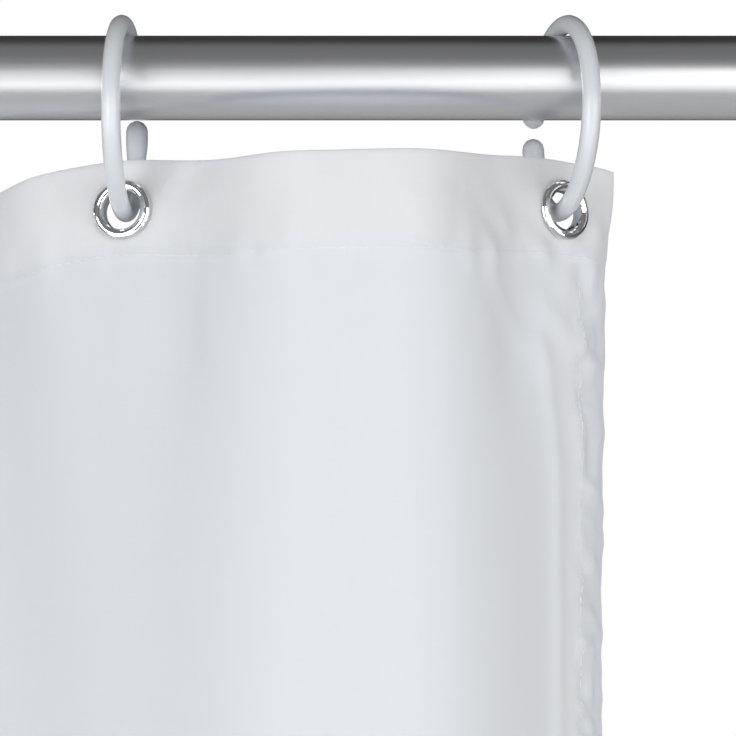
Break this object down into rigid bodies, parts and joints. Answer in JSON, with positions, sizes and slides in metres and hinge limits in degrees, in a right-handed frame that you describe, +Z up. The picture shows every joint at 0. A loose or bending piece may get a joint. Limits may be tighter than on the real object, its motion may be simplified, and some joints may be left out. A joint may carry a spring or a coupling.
{
  "type": "shower curtain",
  "caption": "White, slightly sheer shower curtain with a stitched header, chrome eyelets and open C-shaped plastic rings, hung on a round steel rod held by wall sockets.",
  "frame": {"origin": "middle of the left wall socket's wall face, on the rod's axis", "axes": "+X along the rod to the right, +Z up, the curtain's front faces -Y"},
  "size_m": [1.68, 0.0957, 2.0551],
  "materials": {
    "rod_steel": "fine brushed, satin",
    "socket_steel": "satin",
    "screw_steel": "dark satin",
    "cloth": "fine plain weave, slightly sheer",
    "interlining": "non-woven, matt",
    "weight_tape": "woven tape, matt",
    "ring_plastic": "frosted, smooth",
    "eyelet_chrome": "bright plated"
  },
  "bodies": {
    "rod": {"rod_tube": "rod_steel", "left_wall_socket": "socket_steel", "right_wall_socket": "socket_steel", "left_grub_screw": "screw_steel", "right_grub_screw": "screw_steel"},
    "curtain": {"curtain_panel": "cloth", "header_facing": "cloth", "header_interlining": "interlining", "left_side_hem": "cloth", "right_side_hem": "cloth", "bottom_hem": "cloth", "bottom_weight_tape": "weight_tape"},
    "ring_01": {"ring_01": "ring_plastic"},
    "ring_02": {"ring_02": "ring_plastic"},
    "ring_03": {"ring_03": "ring_plastic"},
    "ring_04": {"ring_04": "ring_plastic"},
    "ring_05": {"ring_05": "ring_plastic"},
    "ring_06": {"ring_06": "ring_plastic"},
    "ring_07": {"ring_07": "ring_plastic"},
    "ring_08": {"ring_08": "ring_plastic"},
    "ring_09": {"ring_09": "ring_plastic"},
    "ring_10": {"ring_10": "ring_plastic"},
    "ring_11": {"ring_11": "ring_plastic"},
    "ring_12": {"ring_12": "ring_plastic"},
    "eyelet_01": {"eyelet_01": "eyelet_chrome", "eyelet_washer_01": "eyelet_chrome"},
    "eyelet_02": {"eyelet_02": "eyelet_chrome", "eyelet_washer_02": "eyelet_chrome"},
    "eyelet_03": {"eyelet_03": "eyelet_chrome", "eyelet_washer_03": "eyelet_chrome"},
    "eyelet_04": {"eyelet_04": "eyelet_chrome", "eyelet_washer_04": "eyelet_chrome"},
    "eyelet_05": {"eyelet_05": "eyelet_chrome", "eyelet_washer_05": "eyelet_chrome"},
    "eyelet_06": {"eyelet_06": "eyelet_chrome", "eyelet_washer_06": "eyelet_chrome"},
    "eyelet_07": {"eyelet_07": "eyelet_chrome", "eyelet_washer_07": "eyelet_chrome"},
    "eyelet_08": {"eyelet_08": "eyelet_chrome", "eyelet_washer_08": "eyelet_chrome"},
    "eyelet_09": {"eyelet_09": "eyelet_chrome", "eyelet_washer_09": "eyelet_chrome"},
    "eyelet_10": {"eyelet_10": "eyelet_chrome", "eyelet_washer_10": "eyelet_chrome"},
    "eyelet_11": {"eyelet_11": "eyelet_chrome", "eyelet_washer_11": "eyelet_chrome"},
    "eyelet_12": {"eyelet_12": "eyelet_chrome", "eyelet_washer_12": "eyelet_chrome"}
  },
  "joints": [
    {"name": "swing", "type": "hinge", "parent": "rod", "child": "curtain", "pos_m": [0, 0, 0], "axis": [1, 0, 0], "range_deg": [-15, 15]},
    {"name": "draw", "type": "slide", "parent": "curtain", "child": "ring_12", "axis": [1, 0, 0], "range_m": [-1.001, 0], "deforming": ["curtain_panel", "header_facing", "header_interlining", "left_side_hem", "right_side_hem", "bottom_hem", "bottom_weight_tape"]},
    {"name": "slide_01", "type": "slide", "parent": "curtain", "child": "ring_01", "axis": [1, 0, 0], "range_m": [-0.07865, 0]},
    {"name": "slide_02", "type": "slide", "parent": "curtain", "child": "ring_02", "axis": [1, 0, 0], "range_m": [-0.15926, 0]},
    {"name": "slide_03", "type": "slide", "parent": "curtain", "child": "ring_03", "axis": [1, 0, 0], "range_m": [-0.24888, 0]},
    {"name": "slide_04", "type": "slide", "parent": "curtain", "child": "ring_04", "axis": [1, 0, 0], "range_m": [-0.32975, 0]},
    {"name": "slide_05", "type": "slide", "parent": "curtain", "child": "ring_05", "axis": [1, 0, 0], "range_m": [-0.41219, 0]},
    {"name": "slide_06", "type": "slide", "parent": "curtain", "child": "ring_06", "axis": [1, 0, 0], "range_m": [-0.50108, 0]},
    {"name": "slide_07", "type": "slide", "parent": "curtain", "child": "ring_07", "axis": [1, 0, 0], "range_m": [-0.57897, 0]},
    {"name": "slide_08", "type": "slide", "parent": "curtain", "child": "ring_08", "axis": [1, 0, 0], "range_m": [-0.6665, 0]},
    {"name": "slide_09", "type": "slide", "parent": "curtain", "child": "ring_09", "axis": [1, 0, 0], "range_m": [-0.75093, 0]},
    {"name": "slide_10", "type": "slide", "parent": "curtain", "child": "ring_10", "axis": [1, 0, 0], "range_m": [-0.83025, 0]},
    {"name": "slide_11", "type": "slide", "parent": "curtain", "child": "ring_11", "axis": [1, 0, 0], "range_m": [-0.91715, 0]},
    {"name": "eyelet_turn_01", "type": "hinge", "parent": "ring_01", "child": "eyelet_01", "pos_m": [0.141, 0, -0.0401], "axis": [0, 0, 1], "range_deg": [-24.01, 0]},
    {"name": "eyelet_turn_02", "type": "hinge", "parent": "ring_02", "child": "eyelet_02", "pos_m": [0.26501, 0, -0.0401], "axis": [0, 0, 1], "range_deg": [0, 17.01]},
    {"name": "eyelet_turn_03", "type": "hinge", "parent": "ring_03", "child": "eyelet_03", "pos_m": [0.40289, 0, -0.0401], "axis": [0, 0, 1], "range_deg": [-24.01, 0]},
    {"name": "eyelet_turn_04", "type": "hinge", "parent": "ring_04", "child": "eyelet_04", "pos_m": [0.5273, 0, -0.0401], "axis": [0, 0, 1], "range_deg": [0, 17.01]},
    {"name": "eyelet_turn_05", "type": "hinge", "parent": "ring_05", "child": "eyelet_05", "pos_m": [0.65413, 0, -0.0401], "axis": [0, 0, 1], "range_deg": [-24.01, 0]},
    {"name": "eyelet_turn_06", "type": "hinge", "parent": "ring_06", "child": "eyelet_06", "pos_m": [0.79089, 0, -0.0401], "axis": [0, 0, 1], "range_deg": [0, 17.01]},
    {"name": "eyelet_turn_07", "type": "hinge", "parent": "ring_07", "child": "eyelet_07", "pos_m": [0.91071, 0, -0.0401], "axis": [0, 0, 1], "range_deg": [-24.01, 0]},
    {"name": "eyelet_turn_08", "type": "hinge", "parent": "ring_08", "child": "eyelet_08", "pos_m": [1.04538, 0, -0.0401], "axis": [0, 0, 1], "range_deg": [0, 17.01]},
    {"name": "eyelet_turn_09", "type": "hinge", "parent": "ring_09", "child": "eyelet_09", "pos_m": [1.17527, 0, -0.0401], "axis": [0, 0, 1], "range_deg": [-24.01, 0]},
    {"name": "eyelet_turn_10", "type": "hinge", "parent": "ring_10", "child": "eyelet_10", "pos_m": [1.2973, 0, -0.0401], "axis": [0, 0, 1], "range_deg": [0, 17.01]},
    {"name": "eyelet_turn_11", "type": "hinge", "parent": "ring_11", "child": "eyelet_11", "pos_m": [1.431, 0, -0.0401], "axis": [0, 0, 1], "range_deg": [-24.01, 0]},
    {"name": "eyelet_turn_12", "type": "hinge", "parent": "ring_12", "child": "eyelet_12", "pos_m": [1.56, 0, -0.0401], "axis": [0, 0, 1], "range_deg": [0, 17.01]}
  ],
  "couplings": [
    {"joint": "slide_01", "follows": "draw", "ratio": 0.078571},
    {"joint": "slide_02", "follows": "draw", "ratio": 0.1591},
    {"joint": "slide_03", "follows": "draw", "ratio": 0.24863},
    {"joint": "slide_04", "follows": "draw", "ratio": 0.32942},
    {"joint": "slide_05", "follows": "draw", "ratio": 0.41177},
    {"joint": "slide_06", "follows": "draw", "ratio": 0.50058},
    {"joint": "slide_07", "follows": "draw", "ratio": 0.57839},
    {"joint": "slide_08", "follows": "draw", "ratio": 0.66583},
    {"joint": "slide_09", "follows": "draw", "ratio": 0.75018},
    {"joint": "slide_10", "follows": "draw", "ratio": 0.82942},
    {"joint": "slide_11", "follows": "draw", "ratio": 0.91623},
    {"joint": "eyelet_turn_01", "follows": "draw", "rad_per_m": 0.41846},
    {"joint": "eyelet_turn_02", "follows": "draw", "rad_per_m": -0.29641},
    {"joint": "eyelet_turn_03", "follows": "draw", "rad_per_m": 0.41846},
    {"joint": "eyelet_turn_04", "follows": "draw", "rad_per_m": -0.29641},
    {"joint": "eyelet_turn_05", "follows": "draw", "rad_per_m": 0.41846},
    {"joint": "eyelet_turn_06", "follows": "draw", "rad_per_m": -0.29641},
    {"joint": "eyelet_turn_07", "follows": "draw", "rad_per_m": 0.41846},
    {"joint": "eyelet_turn_08", "follows": "draw", "rad_per_m": -0.29641},
    {"joint": "eyelet_turn_09", "follows": "draw", "rad_per_m": 0.41846},
    {"joint": "eyelet_turn_10", "follows": "draw", "rad_per_m": -0.29641},
    {"joint": "eyelet_turn_11", "follows": "draw", "rad_per_m": 0.41846},
    {"joint": "eyelet_turn_12", "follows": "draw", "rad_per_m": -0.29641}
  ]
}
